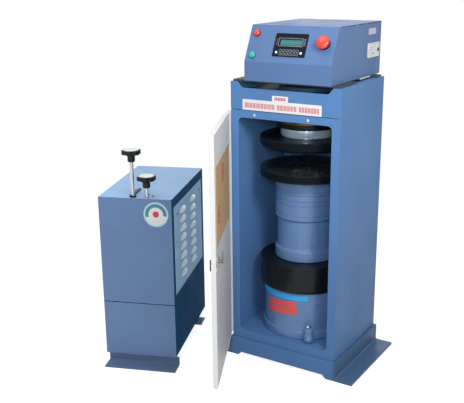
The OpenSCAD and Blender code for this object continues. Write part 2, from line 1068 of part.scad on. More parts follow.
module stop_button() {
  r = stop_diameter / 2;
  lift = stop_seat + stop_travel + 0.5;
  stem_depth = 16;
  profile = [[0, 0], [r - 4, 0], [r - 1, 3], [r, 7], [r - 2, 11], [r - 7, 14], [0, 15]];
  color(signal_red)
    place_slope()
      translate([stop_at[0], stop_at[1], 0]) {
        translate([0, 0, -stem_depth]) cylinder(r = stop_stem, h = lift + stem_depth + 1);
        translate([0, 0, lift]) rotate_extrude() polygon(profile);
      }
}

module socket_plate() {
  flange = 3;
  corner = 3;
  inset = 12;
  clear = 0.3;
  outer = socket_size + 2 * [socket_rim, socket_rim];
  color(door_white)
    place_console()
      translate([console_width / 2, socket_at[0], socket_at[1]])
        rotate([90, 0, 90])
          difference() {
            union() {
              linear_extrude(flange) soft_rect(outer[0], outer[1], corner);
              translate([0, 0, -inset])
                linear_extrude(inset) square(socket_size - 2 * [clear, clear], center = true);
            }
            translate([socket_hole[0], socket_hole[1], -inset / 2])
              cylinder(r = socket_radius, h = inset);
          }
}

// Cabinet body: sides, back, floor and top, with a window for the louvred panel
module pump_shell() {
  t = pump_sheet;
  color(dark_blue)
    place_pump()
      difference() {
        translate([0, t, pump_foot]) cube([pump_width, pump_depth - t, pump_height - pump_foot]);
        translate([t, 0, pump_foot + t])
          cube([pump_width - 2 * t, pump_depth - t, pump_height - pump_foot - 2 * t]);
        translate([pump_width - t - 1, bezel_front, panel_bottom])
          cube([t + 2, panel_width, panel_height]);
        for (x = [tall_x, short_x])
          translate([x, spindle_y, pump_height - t - 1]) cylinder(r = spindle_radius + 1, h = t + 2);
      }
}

module pump_front_upper() {
  start = pump_seam + pump_seam_gap / 2;
  color(panel_blue)
    place_pump()
      translate([0, 0, start]) cube([pump_width, pump_sheet, pump_height - start]);
}

module pump_front_lower() {
  start = pump_foot - pump_front_drop;
  end = pump_seam - pump_seam_gap / 2;
  color(panel_blue)
    place_pump()
      translate([0, 0, start]) cube([pump_width, pump_sheet, end - start]);
}

// One pressed louvre: a hood that leans out of the panel and is open below
module louvre() {
  rotate([90, 0, 0])
    translate([0, 0, -louvre_length / 2])
      linear_extrude(louvre_length)
        polygon([
          [-eps, louvre_height], [louvre_out, louvre_lip], [louvre_out, 0],
          [louvre_out - louvre_lip, 0], [-eps, louvre_height - 2 * louvre_lip]
        ]);
}

module louvre_panel() {
  t = pump_sheet;
  clear = 0.2;
  first = (panel_height - (louvre_count - 1) * louvre_pitch) / 2 - louvre_height / 2;
  color(panel_blue)
    place_pump()
      translate([pump_width, bezel_front, panel_bottom]) {
        difference() {
          translate([-t, clear, clear])
            cube([t + 1, panel_width - 2 * clear, panel_height - 2 * clear]);
          for (col = [0, 1], i = [0 : louvre_count - 1])
            translate([-t - 1, louvre_centre(col) - louvre_length / 2 + 1, first + i * louvre_pitch - 1])
              cube([t + 3, louvre_length - 2, louvre_slot]);
        }
        for (col = [0, 1], i = [0 : louvre_count - 1])
          translate([1, louvre_centre(col), first + i * louvre_pitch]) louvre();
      }
}

// Two angles, a little to the right of the cabinet: the front one with its flange to
// the front, the other one set in from the back with its flange to the rear
module pump_feet() {
  t = pump_foot_leaf;
  color(dark_blue)
    place_pump()
      for (end = [0, 1])
        translate([pump_foot_shift, end * (pump_depth - rear_foot_set), 0])
          mirror([0, end, 0]) {
            translate([0, pump_sheet, 0]) cube([pump_width, t, pump_foot]);
            translate([0, -pump_foot_reach, 0]) cube([pump_width, pump_foot_reach + pump_sheet + t, t]);
          }
}

module oil_tank() {
  across = pump_width - 2 * tank_gap;
  along = pump_depth - 2 * tank_gap;
  color(bright_steel)
    place_pump()
      translate([tank_gap, tank_gap, pump_foot + pump_sheet]) {
        cube([across, along, tank_height]);
        translate([across / 2, along / 2, tank_height - eps])
          cylinder(r = motor_radius, h = motor_height);
      }
}

module valve_block() {
  top = pump_height - pump_sheet;
  middle = (tall_x + short_x) / 2;
  color(bright_steel)
    place_pump()
      difference() {
        translate([middle - block_width / 2, pump_sheet, top - block_height])
          cube([block_width, block_depth, block_height]);
        for (x = [tall_x, short_x])
          translate([x, spindle_y, top - spindle_depth])
            cylinder(r = spindle_radius + spindle_fit, h = spindle_depth + 1);
      }
}

// Ground valve rod, from the valve block up into the knob
module valve_rod(x, rod) {
  end_gap = 0.5;
  bottom = pump_height - pump_sheet - spindle_depth + end_gap;
  top = pump_height + rod + knob_socket;
  color(bright_steel)
    place_pump()
      translate([x, spindle_y, bottom]) cylinder(r = spindle_radius, h = top - bottom);
}

// Lobed hand knob, pressed on the rod's end
module valve_knob(x, rod) {
  r = knob_diameter / 2;
  foot = 9.5;
  waist = 12;
  shoulder = r * 0.7;
  waist_low = 4;
  waist_high = 19;
  lobes = 6;
  lobe_cut = 11;
  lobe_depth = 4;
  bore = spindle_radius + spindle_fit;
  color(black_steel)
    place_pump()
      translate([x, spindle_y, pump_height + rod])
        difference() {
          union() {
            rotate_extrude()
              polygon([
                [0, 0], [foot, 0], [waist, waist_low], [waist, waist_high],
                [shoulder, hub_height], [0, hub_height]
              ]);
            translate([0, 0, hub_height])
              linear_extrude(head_height)
                difference() {
                  circle(r);
                  for (i = [0 : lobes - 1])
                    rotate(i * 360 / lobes)
                      translate([r + lobe_cut - lobe_depth, 0]) circle(lobe_cut, $fn = 48);
                }
          }
          translate([0, 0, -1]) cylinder(r = bore, h = knob_socket + 1.5);
        }
}

module tall_rod_bar() {
  valve_rod(tall_x, tall_rod);
}

module short_rod_bar() {
  valve_rod(short_x, short_rod);
}

module tall_knob() {
  valve_knob(tall_x, tall_rod);
}

module short_knob() {
  valve_knob(short_x, short_rod);
}

// Flat lever that turns round the tall rod on the cabinet's top, with a bowed blade
module lock_lever() {
  thick = 6;
  hub = 11;
  arm_width = 8;
  blade_start = 22;
  blade_length = 65;
  bow = 12;
  lift = 0.3;
  bore = spindle_radius + 0.3;
  bow_radius = (blade_length * blade_length / 4 + bow * bow) / (2 * bow);
  middle = blade_start + blade_length / 2;
  color(black_steel)
    place_pump()
      translate([tall_x, spindle_y, pump_height + lift])
        linear_extrude(thick)
          difference() {
            union() {
              circle(hub);
              translate([-arm_width, 0]) square([arm_width, blade_start + arm_width]);
              intersection() {
                translate([bow_radius - bow, middle]) circle(bow_radius);
                translate([-bow, blade_start]) square([bow, blade_length]);
              }
            }
            circle(bore);
          }
}

side_plate(-1);  // side_plate_left
side_plate(1);  // side_plate_right
front_panel();
top_cover();
rear_panel();
crosshead();
base_bolster();
foot_angle(-1);  // foot_angle_left
foot_angle(1);  // foot_angle_right
plinth_skirts();
hinge_strip();
rear_port();
hinge_fixed(hinge_levels[0]);  // hinge_fixed_1
hinge_fixed(hinge_levels[1]);  // hinge_fixed_2
hinge_moving(hinge_levels[0]);  // hinge_moving_1
hinge_moving(hinge_levels[1]);  // hinge_moving_2
door_shell();
door_liner();
latch_head();
latch_cam();
jack_cylinder();
pressure_union();
bleed_screw();
ram();
ram_cover();
column_spacer();
disc(1, disc_foot);  // disc_1
disc(2);  // disc_2
disc(3);  // disc_3
disc(4);  // disc_4
grooved_disc(5);  // disc_5
lower_platen();
seat_collar();
brass_ring();
top_flange();
upper_platen();
ball_seat();
suspension_bolt();
console_shell();
console_lid();
console_rails();
display_module();
lcd_window();
red_button();
green_button();
stop_collar();
stop_button();
socket_plate();
pump_shell();
pump_front_upper();
pump_front_lower();
louvre_panel();
pump_feet();
oil_tank();
valve_block();
tall_rod_bar();
short_rod_bar();
tall_knob();
short_knob();
lock_lever();
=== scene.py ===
import json
import math

import bmesh
import bpy
from mathutils import Matrix, Vector


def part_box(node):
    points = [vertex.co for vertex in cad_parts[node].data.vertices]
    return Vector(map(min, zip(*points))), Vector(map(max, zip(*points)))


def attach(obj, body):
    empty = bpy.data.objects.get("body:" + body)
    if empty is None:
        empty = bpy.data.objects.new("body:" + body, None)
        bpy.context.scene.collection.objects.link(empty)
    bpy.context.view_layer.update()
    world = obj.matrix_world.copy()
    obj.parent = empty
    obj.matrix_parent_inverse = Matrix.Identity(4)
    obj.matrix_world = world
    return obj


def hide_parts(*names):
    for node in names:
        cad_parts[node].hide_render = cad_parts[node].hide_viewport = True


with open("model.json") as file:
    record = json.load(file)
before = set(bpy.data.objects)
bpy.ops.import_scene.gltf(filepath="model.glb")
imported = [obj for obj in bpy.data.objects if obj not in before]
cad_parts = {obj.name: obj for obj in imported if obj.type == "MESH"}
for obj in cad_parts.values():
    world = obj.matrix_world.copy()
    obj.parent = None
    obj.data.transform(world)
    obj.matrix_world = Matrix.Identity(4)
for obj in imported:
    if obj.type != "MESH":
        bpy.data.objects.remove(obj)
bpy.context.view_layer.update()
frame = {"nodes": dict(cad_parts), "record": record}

MM = 0.001
NODES = frame["nodes"]
BODY_OF = {
    node: body
    for body, members in frame["record"]["behaviour"]["bodies"].items()
    for node in members
}

# ---------------------------------------------------------------- places
jack_low, jack_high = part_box("jack_cylinder")
AXIS = (jack_low + jack_high) / 2
FRONT_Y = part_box("front_panel")[0].y
PUMP_WIDTH, PUMP_HEIGHT = 0.238, 0.564
PUMP_NEAR = Vector((-0.292, -0.179, 0))  # the cabinet's front bottom corner next to the load frame
PUMP_TURN = math.radians(21)
PANEL_THICK = 0.001  # how far the louvred panel stands out of the cabinet's side
HINGE = Vector((-0.192, -0.011, 0))
DOOR_OPEN = math.radians(64)
DOOR_BACK, DOOR_EDGE = 0.008, 0.37685  # its inner face and its free edge, from the hinge
LOWER_FACE = 0.638  # top of the lower platen
CONSOLE = Vector((0.0135, -0.0095, 0.921))
CONSOLE_HALF, CONSOLE_HEIGHT = 0.143, 0.162
LOWER_STRIP = 0.058
SLOPE = math.atan2(0.050, 0.104)  # how far the console's front leans back, over how high
INK = 0.0002  # thickness of a printed mark


def at(x, y, z):
    """A point of the load frame, with x from its middle and y from its front sheet."""
    return Vector((AXIS.x + x, FRONT_Y + y, z))


def frame_matrix():
    """Middle of the front sheet's lower edge, at the floor."""
    return Matrix.Translation(at(0, 0, 0))


def pump_matrix():
    """Front left bottom corner of the pump cabinet."""
    turn = Matrix.Rotation(PUMP_TURN, 4, "Z")
    return frame_matrix() @ Matrix.Translation(PUMP_NEAR) @ turn @ Matrix.Translation((-PUMP_WIDTH, 0, 0))


def door_matrix():
    """The hinge axis at the floor, with x along the door as it stands open."""
    return frame_matrix() @ Matrix.Translation(HINGE) @ Matrix.Rotation(-DOOR_OPEN, 4, "Z")


def console_matrix():
    """Middle of the console's front bottom edge."""
    return frame_matrix() @ Matrix.Translation(CONSOLE)


def on_slope(x, y, z=0.0):
    """A place on the console's slope in millimetres: x across, y up the slope, z out of it."""
    foot = console_matrix() @ Matrix.Translation((0, 0, LOWER_STRIP))
    slope = foot @ Matrix.Rotation(math.pi / 2 - SLOPE, 4, "X")
    return slope @ Matrix.Translation((x * MM, y * MM, z * MM))


def axis_matrix():
    """The jack's axis, at the floor."""
    return Matrix.Translation((AXIS.x, AXIS.y, 0))


def facing(matrix, x, y, z, side):
    """A place whose z axis looks out of the given side, with y up."""
    turns = {
        "front": Matrix.Rotation(math.pi / 2, 4, "X"),
        "right": Matrix.Rotation(math.pi / 2, 4, "Z") @ Matrix.Rotation(math.pi / 2, 4, "X"),
        "back": Matrix.Rotation(math.pi, 4, "Z") @ Matrix.Rotation(math.pi / 2, 4, "X"),
        "top": Matrix.Identity(4),
    }
    return matrix @ Matrix.Translation((x, y, z)) @ turns[side]


# ---------------------------------------------------------------- camera
CAM_AT = (1.1126, -2.0405, 1.2420)
CAM_YAW, CAM_TILT, CAM_ROLL = math.radians(32.44), math.radians(16.40), math.radians(-0.63)
PHOTO_WIDTH = 464
FOCAL_PX = 788.7
SENSOR = 36.0


def make_camera():
    """The photograph's camera, as fitted to the edges of both units."""
    forward = Vector((
        -math.sin(CAM_YAW) * math.cos(CAM_TILT),
        math.cos(CAM_YAW) * math.cos(CAM_TILT),
        -math.sin(CAM_TILT),
    ))
    level = Vector((math.cos(CAM_YAW), math.sin(CAM_YAW), 0))
    upright = level.cross(forward)
    right = level * math.cos(CAM_ROLL) + upright * math.sin(CAM_ROLL)
    up = upright * math.cos(CAM_ROLL) - level * math.sin(CAM_ROLL)
    data = bpy.data.cameras.new("camera")
    data.sensor_width = SENSOR
    data.sensor_fit = "HORIZONTAL"
    data.lens = FOCAL_PX / PHOTO_WIDTH * SENSOR
    data.clip_end = 200
    camera = bpy.data.objects.new("camera", data)
    bpy.context.scene.collection.objects.link(camera)
    place = Matrix((right, up, -forward)).transposed().to_4x4()
    place.translation = at(*CAM_AT)
    camera.matrix_world = place
    bpy.context.scene.camera = camera


make_camera()


# ---------------------------------------------------------------- node helpers
class Tree:
    """A material's nodes, with short calls for the kinds used here."""

    def __init__(self, name):
        self.mat = bpy.data.materials.new(name)
        self.mat.use_nodes = True
        self.nodes = self.mat.node_tree.nodes
        self.links = self.mat.node_tree.links
        self.nodes.clear()
        self.out = self.nodes.new("ShaderNodeOutputMaterial")
        self.coord = self.nodes.new("ShaderNodeTexCoord")

    def link(self, a, b):
        self.links.new(a, b)

    def noise(self, scale, detail=3.0, rough=0.5, stretch=None):
        node = self.nodes.new("ShaderNodeTexNoise")
        node.inputs["Scale"].default_value = scale
        node.inputs["Detail"].default_value = detail
        node.inputs["Roughness"].default_value = rough
        vector = self.coord.outputs["Object"]
        if stretch:
            mapping = self.nodes.new("ShaderNodeMapping")
            mapping.inputs["Scale"].default_value = stretch
            self.link(vector, mapping.inputs["Vector"])
            vector = mapping.outputs["Vector"]
        self.link(vector, node.inputs["Vector"])
        return node.outputs["Fac"]

    def spread(self, value, low, high, start=0.3, end=0.7):
        node = self.nodes.new("ShaderNodeMapRange")
        node.inputs["From Min"].default_value = start
        node.inputs["From Max"].default_value = end
        node.inputs["To Min"].default_value = low
        node.inputs["To Max"].default_value = high
        self.link(value, node.inputs["Value"])
        return node.outputs["Result"]

    def mix(self, factor, a, b):
        node = self.nodes.new("ShaderNodeMix")
        node.data_type = "RGBA"
        for value, socket in ((factor, node.inputs[0]), (a, node.inputs[6]), (b, node.inputs[7])):
            if isinstance(value, bpy.types.NodeSocket):
                self.link(value, socket)
            elif isinstance(value, (int, float)):
                socket.default_value = value
            else:
                socket.default_value = (*value, 1)
        return node.outputs[2]

    def math(self, kind, a, b=0.0):
        node = self.nodes.new("ShaderNodeMath")
        node.operation = kind
        for value, socket in ((a, node.inputs[0]), (b, node.inputs[1])):
            if isinstance(value, bpy.types.NodeSocket):
                self.link(value, socket)
            else:
                socket.default_value = value
        return node.outputs[0]

    def bump(self, height, strength, distance):
        node = self.nodes.new("ShaderNodeBump")
        node.inputs["Strength"].default_value = strength
        node.inputs["Distance"].default_value = distance
        self.link(height, node.inputs["Height"])
        return node.outputs["Normal"]

    def edges(self, radius):
        """1 along sharp edges and 0 on flat faces, from how far a rounded normal turns."""
        bevel = self.nodes.new("ShaderNodeBevel")
        bevel.samples = 4
        bevel.inputs["Radius"].default_value = radius
        geometry = self.nodes.new("ShaderNodeNewGeometry")
        dot = self.nodes.new("ShaderNodeVectorMath")
        dot.operation = "DOT_PRODUCT"
        self.link(bevel.outputs["Normal"], dot.inputs[0])
        self.link(geometry.outputs["Normal"], dot.inputs[1])
        return self.spread(dot.outputs["Value"], 1.0, 0.0, 0.75, 0.99)

    def shader(self, colour, rough, metal=0.0, normal=None, coat=0.0, spec=0.5):
        node = self.nodes.new("ShaderNodeBsdfPrincipled")
        self.link(colour, node.inputs["Base Color"])
        if isinstance(rough, bpy.types.NodeSocket):
            self.link(rough, node.inputs["Roughness"])
        else:
            node.inputs["Roughness"].default_value = rough
        node.inputs["Metallic"].default_value = metal
        node.inputs["Specular IOR Level"].default_value = spec
        node.inputs["Coat Weight"].default_value = coat
        node.inputs["Coat Roughness"].default_value = 0.1
        if normal is not None:
            self.link(normal, node.inputs["Normal"])
        self.link(node.outputs["BSDF"], self.out.inputs["Surface"])
        return node


def shade(colour, factor):
    """The same colour, lighter or darker."""
    return tuple(min(1.0, c * factor) for c in colour)


def paint(name, colour, rough=0.42, tone=0.05, wear_and_highlight=0.3, spec=0.4, painted_floor_shade=0.0):
    """Sprayed enamel: tone drift, dust specks, orange peel, edges lighter partly from wear and partly as
    a painted highlight, and painted shade that darkens it towards the floor.
    """
    peel, painted_shade_top, painted_shade_depth = 0.10, 0.65, 0.35
    t = Tree(name)
    drift = t.spread(t.noise(5, 4), 0, 1)
    base = t.mix(drift, shade(colour, 1 - tone), shade(colour, 1 + tone))
    # painted shade: below a set height the colour darkens towards the floor, standing in for light that
    # falls off near the floor
    if painted_floor_shade:
        apart = t.nodes.new("ShaderNodeSeparateXYZ")
        t.link(t.coord.outputs["Object"], apart.inputs[0])
        low = t.spread(apart.outputs["Z"], painted_floor_shade, 0, 0.0, painted_shade_top)
        base = t.mix(low, base, shade(colour, painted_shade_depth))
    specks = t.spread(t.noise(420, 2), 0, 0.5, 0.66, 0.74)
    base = t.mix(specks, base, shade(colour, 1.25))
    # edges painted lighter: partly wear, partly a painted highlight along the bends
    edge = t.math("MULTIPLY", t.edges(0.0014), t.spread(t.noise(60, 5), 0.2, 1.0))
    base = t.mix(t.math("MULTIPLY", edge, wear_and_highlight), base, shade(colour, 1.9))
    gloss = t.spread(t.noise(14, 5), rough - 0.05, rough + 0.07)
    height = t.math("ADD", t.noise(520, 2), t.math("MULTIPLY", t.noise(90, 3), 0.6))
    t.shader(base, gloss, normal=t.bump(height, peel, 0.0004), spec=spec)
    return t.mat


def steel(
    name, colour, rough, metal=1.0, grain=(1, 1, 40), tone=0.12, bump=0.12, spec=0.5, bare_and_highlight=None, rim=0.001
):
    """Turned or ground steel: fine lines along the cut, smudges in the gloss, lighter edges that are bare
    steel, and on the platens also a painted highlight line.
    """
    t = Tree(name)
    lines = t.noise(60, 6, 0.65, grain)
    smudge = t.spread(t.noise(18, 5), 0, 1)
    base = t.mix(t.spread(lines, 0, 1), shade(colour, 1 - tone), shade(colour, 1 + tone))
    base = t.mix(t.math("MULTIPLY", smudge, 0.25), base, shade(colour, 0.8))
    # lighter edges: bare steel, and a painted highlight where a bright edge colour is given
    edge = t.math("MULTIPLY", t.edges(rim), t.spread(t.noise(35, 4), 0.1, 0.9))
    base = t.mix(edge, base, bare_and_highlight or shade(colour, 1.7))
    gloss = t.mix(smudge, (rough - 0.05,) * 3, (rough + 0.08,) * 3)
    t.shader(base, gloss, metal, t.bump(lines, bump, 0.0002), spec=spec)
    return t.mat


def plastic(name, colour, rough=0.35, coat=0.0, spec=0.4):
    """Moulded plastic: fine moulding grain, faint finger marks and a painted highlight along its edges.
    """
    grain, bump, tone = 900, 0.08, 0.08
    t = Tree(name)
    base = t.mix(t.spread(t.noise(30, 4), 0, 1), shade(colour, 1 - tone), shade(colour, 1 + tone))
    # painted highlight: edges lightened
    edge = t.math("MULTIPLY", t.edges(0.0008), 0.35)
    base = t.mix(edge, base, shade(colour, 1.8))
    gloss = t.spread(t.noise(45, 4), rough - 0.06, rough + 0.08)
    t.shader(base, gloss, normal=t.bump(t.noise(grain, 2), bump, 0.0002), coat=coat, spec=spec)
    return t.mat


def printed(name, colour, rough=0.45):
    """A printed foil or card: faint fibres, a little dirt, low gloss."""
    tone, fibre = 0.04, 300
    t = Tree(name)
    dirt = t.spread(t.noise(16, 6), 0, 1, 0.45, 0.8)
    base = t.mix(t.spread(t.noise(fibre, 3), 0, 1), shade(colour, 1 - tone), shade(colour, 1 + tone))
    base = t.mix(t.math("MULTIPLY", dirt, 0.25), base, shade(colour, 0.78))
    gloss = t.spread(t.noise(40, 3), rough - 0.08, rough + 0.1)
    t.shader(base, gloss, normal=t.bump(t.noise(fibre * 2, 2), 0.06, 0.0002), spec=0.3)
    return t.mat


BLUE = (0.105, 0.239, 0.505)
PUMP_BLUE = (0.133, 0.222, 0.411)
NIGHT = (0.002, 0.075, 0.189)
M = {
    # the frame, the door liner and the jack get painted shade that darkens them towards the floor
    "frame": paint("frame_enamel", BLUE, spec=0.12, painted_floor_shade=0.42),
    "console": paint("console_enamel", (0.109, 0.198, 0.400), spec=0.20),
    "pump": paint("pump_enamel", PUMP_BLUE),
    "pump_shell": paint("pump_shell_enamel", NIGHT, 0.6, wear_and_highlight=0.15, spec=0.02),
    # painted sheen: a lighter copy of the pump's blue on the cabinet's top, standing in for light and
    # reflection there, while its sides stay dark
    "pump_top_sheen": paint("pump_top_sheen_enamel", (0.278, 0.511, 0.844), 0.34),
    "pump_foot": paint("pump_foot_enamel", (0.094, 0.155, 0.261), 0.5, wear_and_highlight=0.4, spec=0.2),
    # painted light: the louvred panel's blue is lighter than its real paint, standing in for light on the
    # cabinet's shaded side
    "louvre": paint("louvre_enamel", (0.300, 0.577, 0.821), 0.42, spec=0.12),
    # painted highlight: a near-white copy of the panel's blue for the hoods' faces
    "hood": paint("hood_enamel", (0.74, 0.95, 1.0), 0.3, tone=0.03, wear_and_highlight=0.1, spec=0.6),
    # dark strips over the slots: partly the openings under the hoods, partly painted shadow below them
    "slot_shadow": paint("slot_shadow_enamel", (0.035, 0.085, 0.14), 0.6, spec=0.1),
    "flange": paint("flange_enamel", (0.044, 0.102, 0.183), 0.5, wear_and_highlight=0.4, spec=0.15),
    "foot": paint("foot_enamel", (0.061, 0.122, 0.233), 0.5, wear_and_highlight=0.5, spec=0.25),
    "door": paint("door_enamel", (0.80, 0.80, 0.79), 0.45, tone=0.03, wear_and_highlight=0.1),
    "liner": paint("liner_enamel", (0.90, 0.89, 0.87), 0.45, tone=0.04, wear_and_highlight=0.1, spec=0.3, painted_floor_shade=0.62),
    "jack": paint("jack_enamel", (0.124, 0.239, 0.461), 0.26, spec=0.45, painted_floor_shade=0.30),
    "black": steel("blackened_steel", (0.014, 0.015, 0.018), 0.28, 0.6, spec=0.25),
    # the platens' pale edge colour over a wide rim is partly bare steel and partly a painted highlight
    # line along their rims
    "platen": steel(
        "platen_steel", (0.005, 0.009, 0.014), 0.30, 0.0, (1, 1, 20),
        bump=0.05, spec=0.05, bare_and_highlight=(0.40, 0.41, 0.42), rim=0.0026,
    ),
    "cover": paint("cover_enamel", (0.0055, 0.0075, 0.0085), 0.3, wear_and_highlight=0.2, spec=0.2),
    "dark_iron": steel("dark_iron", (0.066, 0.078, 0.080), 0.55, 0.3, tone=0.35, spec=0.2),
    "bright": steel("bright_steel", (0.62, 0.64, 0.66), 0.24),
    "zinc": steel("zinc_head", (0.85, 0.86, 0.87), 0.35),
    "cam": steel("cam_zinc", (0.20, 0.20, 0.20), 0.5, 0.3, spec=0.3),
    # painted reflection: the chrome's light blue base colour stands in for the blue chamber reflected in
    # it
    "chrome": steel("chromed_steel", (0.62, 0.84, 1.0), 0.20, 0.45, (1, 1, 14), 0.04, 0.03),
    "brass": steel("turned_brass", (0.15, 0.105, 0.030), 0.3, 0.9),
    "tank": steel("tank_plate", (0.55, 0.56, 0.58), 0.4),
    "knob": plastic("knob_phenolic", (0.006, 0.006, 0.007), 0.26, spec=0.3),
    "cap": steel("spun_cap", (0.74, 0.84, 0.85), 0.3, 0.8),
    "module": plastic("module_case", (0.004, 0.007, 0.017), 0.5, spec=0.12),
    "red": plastic("red_plastic", (0.80, 0.055, 0.025), 0.3, 0.3),
    "lamp_rim": plastic("lamp_rim", (0.30, 0.018, 0.012), 0.35),
    "green": plastic("green_lens", (0.01, 0.42, 0.36), 0.2, 0.5),
    "green_rim": plastic("green_rim", (0.02, 0.26, 0.25), 0.35),
    "white": plastic("white_plastic", (0.78, 0.81, 0.80), 0.4),
    "plate": printed("white_foil", (0.80, 0.82, 0.84)),
    "lilac": printed("lilac_foil", (0.60, 0.58, 0.76)),
    "tan": printed("tan_card", (0.710, 0.455, 0.211)),
    "rust": printed("rust_print", (0.60, 0.075, 0.03)),
    "red_print": printed("red_print", (0.62, 0.07, 0.09)),
    "red_foil": printed("red_foil", (0.72, 0.09, 0.085), 0.4),
    "ice": printed("ice_foil", (0.50, 0.74, 0.86)),
    "teal_print": printed("teal_print", (0.085, 0.27, 0.30)),
    "cyan": printed("cyan_tape", (0.035, 0.40, 0.85), 0.35),
    "key": plastic("key_rubber", (0.006, 0.009, 0.018), 0.6, spec=0.12),
    "mark": printed("key_mark", (0.34, 0.38, 0.43)),
    "icon": printed("icon_mark", (0.30, 0.12, 0.14)),
    "rubber": plastic("black_rubber", (0.004, 0.004, 0.005), 0.65, spec=0.1),
}


def platen_face_material():
    """Oiled black face with a dull greenish film that is partly a painted reflection, a patch of pale
    speckles to the front right of the axis that is a painted reflection, and faint pale specks all over.
    """
    t = Tree("platen_face")
    film_and_reflection = t.spread(t.noise(9, 4), 0, 1)
    base = t.mix(film_and_reflection, (0.012, 0.017, 0.020), (0.030, 0.038, 0.036))
    # painted reflection: pale speckles in a patch to the front right of the axis
    apart = t.nodes.new("ShaderNodeVectorMath")
    apart.operation = "DISTANCE"
    t.link(t.coord.outputs["Object"], apart.inputs[0])
    apart.inputs[1].default_value = (AXIS.x + 0.045, AXIS.y - 0.075, LOWER_FACE)
    near = t.spread(apart.outputs["Value"], 1, 0, 0.03, 0.075)
    reflection_speckle = t.spread(t.noise(170, 4, 0.6), 0, 1, 0.52, 0.62)
    base = t.mix(t.math("MULTIPLY", near, reflection_speckle), base, (0.30, 0.31, 0.31))
    rest = t.spread(t.noise(300, 3), 0, 0.5, 0.62, 0.7)
    base = t.mix(t.math("MULTIPLY", rest, 0.35), base, (0.16, 0.16, 0.15))
    gloss = t.spread(t.noise(22, 4), 0.18, 0.42)
    t.shader(base, gloss, 0.3, t.bump(t.noise(240, 3), 0.05, 0.0002), spec=0.5)
    return t.mat


M["platen_face"] = platen_face_material()


def lcd_material():
    """Lit teal liquid-crystal glass with its rows of character cells."""
    t = Tree("lcd_glass")
    glow = 0.25
    cells = t.nodes.new("ShaderNodeTexBrick")
    cells.offset = 0.0
    cells.inputs["Scale"].default_value = 1.0
    cells.inputs["Brick Width"].default_value = 0.0052
    cells.inputs["Row Height"].default_value = 0.009
    cells.inputs["Mortar Size"].default_value = 0.0006
    cells.inputs["Color1"].default_value = (0.022, 0.105, 0.110, 1)
    cells.inputs["Color2"].default_value = (0.030, 0.130, 0.130, 1)
    cells.inputs["Mortar"].default_value = (0.055, 0.20, 0.195, 1)
    t.link(t.coord.outputs["Object"], cells.inputs["Vector"])
    base = t.mix(t.spread(t.noise(25, 3), 0, 0.3), cells.outputs["Color"], (0.07, 0.24, 0.23))
    node = t.shader(base, 0.15, spec=0.25)
    t.link(base, node.inputs["Emission Color"])
    node.inputs["Emission Strength"].default_value = glow
    return t.mat


M["lcd"] = lcd_material()

NODE_MATERIAL = {
    "frame": [
        "side_plate_left", "side_plate_right", "front_panel", "top_cover", "rear_panel",
        "base_bolster", "plinth_skirts",
    ],
    "console": ["console_shell", "console_lid"],
    "foot": ["foot_angle_left", "foot_angle_right"],
    "pump_foot": ["pump_feet"],
    "pump": ["pump_front_upper", "pump_front_lower"],
    "pump_shell": ["pump_shell"],
    "louvre": ["louvre_panel"],
    "door": ["door_shell", "hinge_strip"],
    "liner": ["door_liner"],
    "jack": [
        "jack_cylinder", "column_spacer", "disc_1", "disc_2", "disc_3", "disc_4", "disc_5",
        "pressure_union",
    ],
    "flange": ["top_flange"],
    "black": ["seat_collar", "lock_lever", "latch_head", "stop_collar"],
    "platen": ["lower_platen", "upper_platen"],
    "cover": ["ram_cover"],
    "dark_iron": ["crosshead", "console_rails"],
    "cam": ["latch_cam"],
    "bright": [
        "hinge_fixed_1", "hinge_fixed_2", "hinge_moving_1", "hinge_moving_2", "bleed_screw",
        "ram", "rear_port", "suspension_bolt", "tall_rod_bar", "short_rod_bar",
    ],
    "chrome": ["ball_seat"],
    "brass": ["brass_ring"],
    "tank": ["oil_tank", "valve_block"],
    "knob": ["tall_knob", "short_knob"],
    "module": ["display_module"],
    "lcd": ["lcd_window"],
    "red": ["red_button", "stop_button"],
    "green": ["green_button"],
    "white": ["socket_plate"],
}
for key, names in NODE_MATERIAL.items():
    for name in names:
        mesh = NODES[name].data
        mesh.materials.clear()
        mesh.materials.append(M[key])


# ---------------------------------------------------------------- pieces
def finish_mesh(name, bm, matrix, material, body, smooth=True, angle=35):
    """Turn a bmesh into a piece that rides on a body."""
    mesh = bpy.data.meshes.new(name)
    bm.to_mesh(mesh)
    bm.free()
    if smooth:
        mesh.shade_smooth()
        mesh.set_sharp_from_angle(angle=math.radians(angle))
    obj = bpy.data.objects.new(name, mesh)
    bpy.context.scene.collection.objects.link(obj)
    mesh.materials.append(M[material])
    obj.matrix_world = matrix
    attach(obj, body)
    return obj


def add_bevel(obj, width, segments=2):
    """Round the edges that turn by more than 30 degrees."""
    bevel = obj.modifiers.new("round", "BEVEL")
    bevel.width = width
    bevel.segments = segments
    bevel.limit_method = "ANGLE"
    bevel.angle_limit = math.radians(30)
    bevel.harden_normals = True


def soften(name, width, segments=2, top=None):
    """A copy of a CAD node's shape with rounded edges, which stands for the node.

    Its upward faces take the material named top, where one is given.
    """
    bm = bmesh.new()
    bm.from_mesh(NODES[name].data)
    bmesh.ops.remove_doubles(bm, verts=bm.verts, dist=1e-6)
    bmesh.ops.dissolve_limit(
        bm, angle_limit=math.radians(0.4), verts=bm.verts, edges=bm.edges,
        use_dissolve_boundaries=False,
    )
    if top:
        bm.normal_update()
        for face in bm.faces:
            face.material_index = 1 if face.normal.z > 0.9 else 0
    key = next(k for k, names in NODE_MATERIAL.items() if name in names)
    obj = finish_mesh(name + "_body", bm, Matrix.Identity(4), key, BODY_OF[name])
    if top:
        obj.data.materials.append(M[top])
    add_bevel(obj, width, segments)
    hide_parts(name)


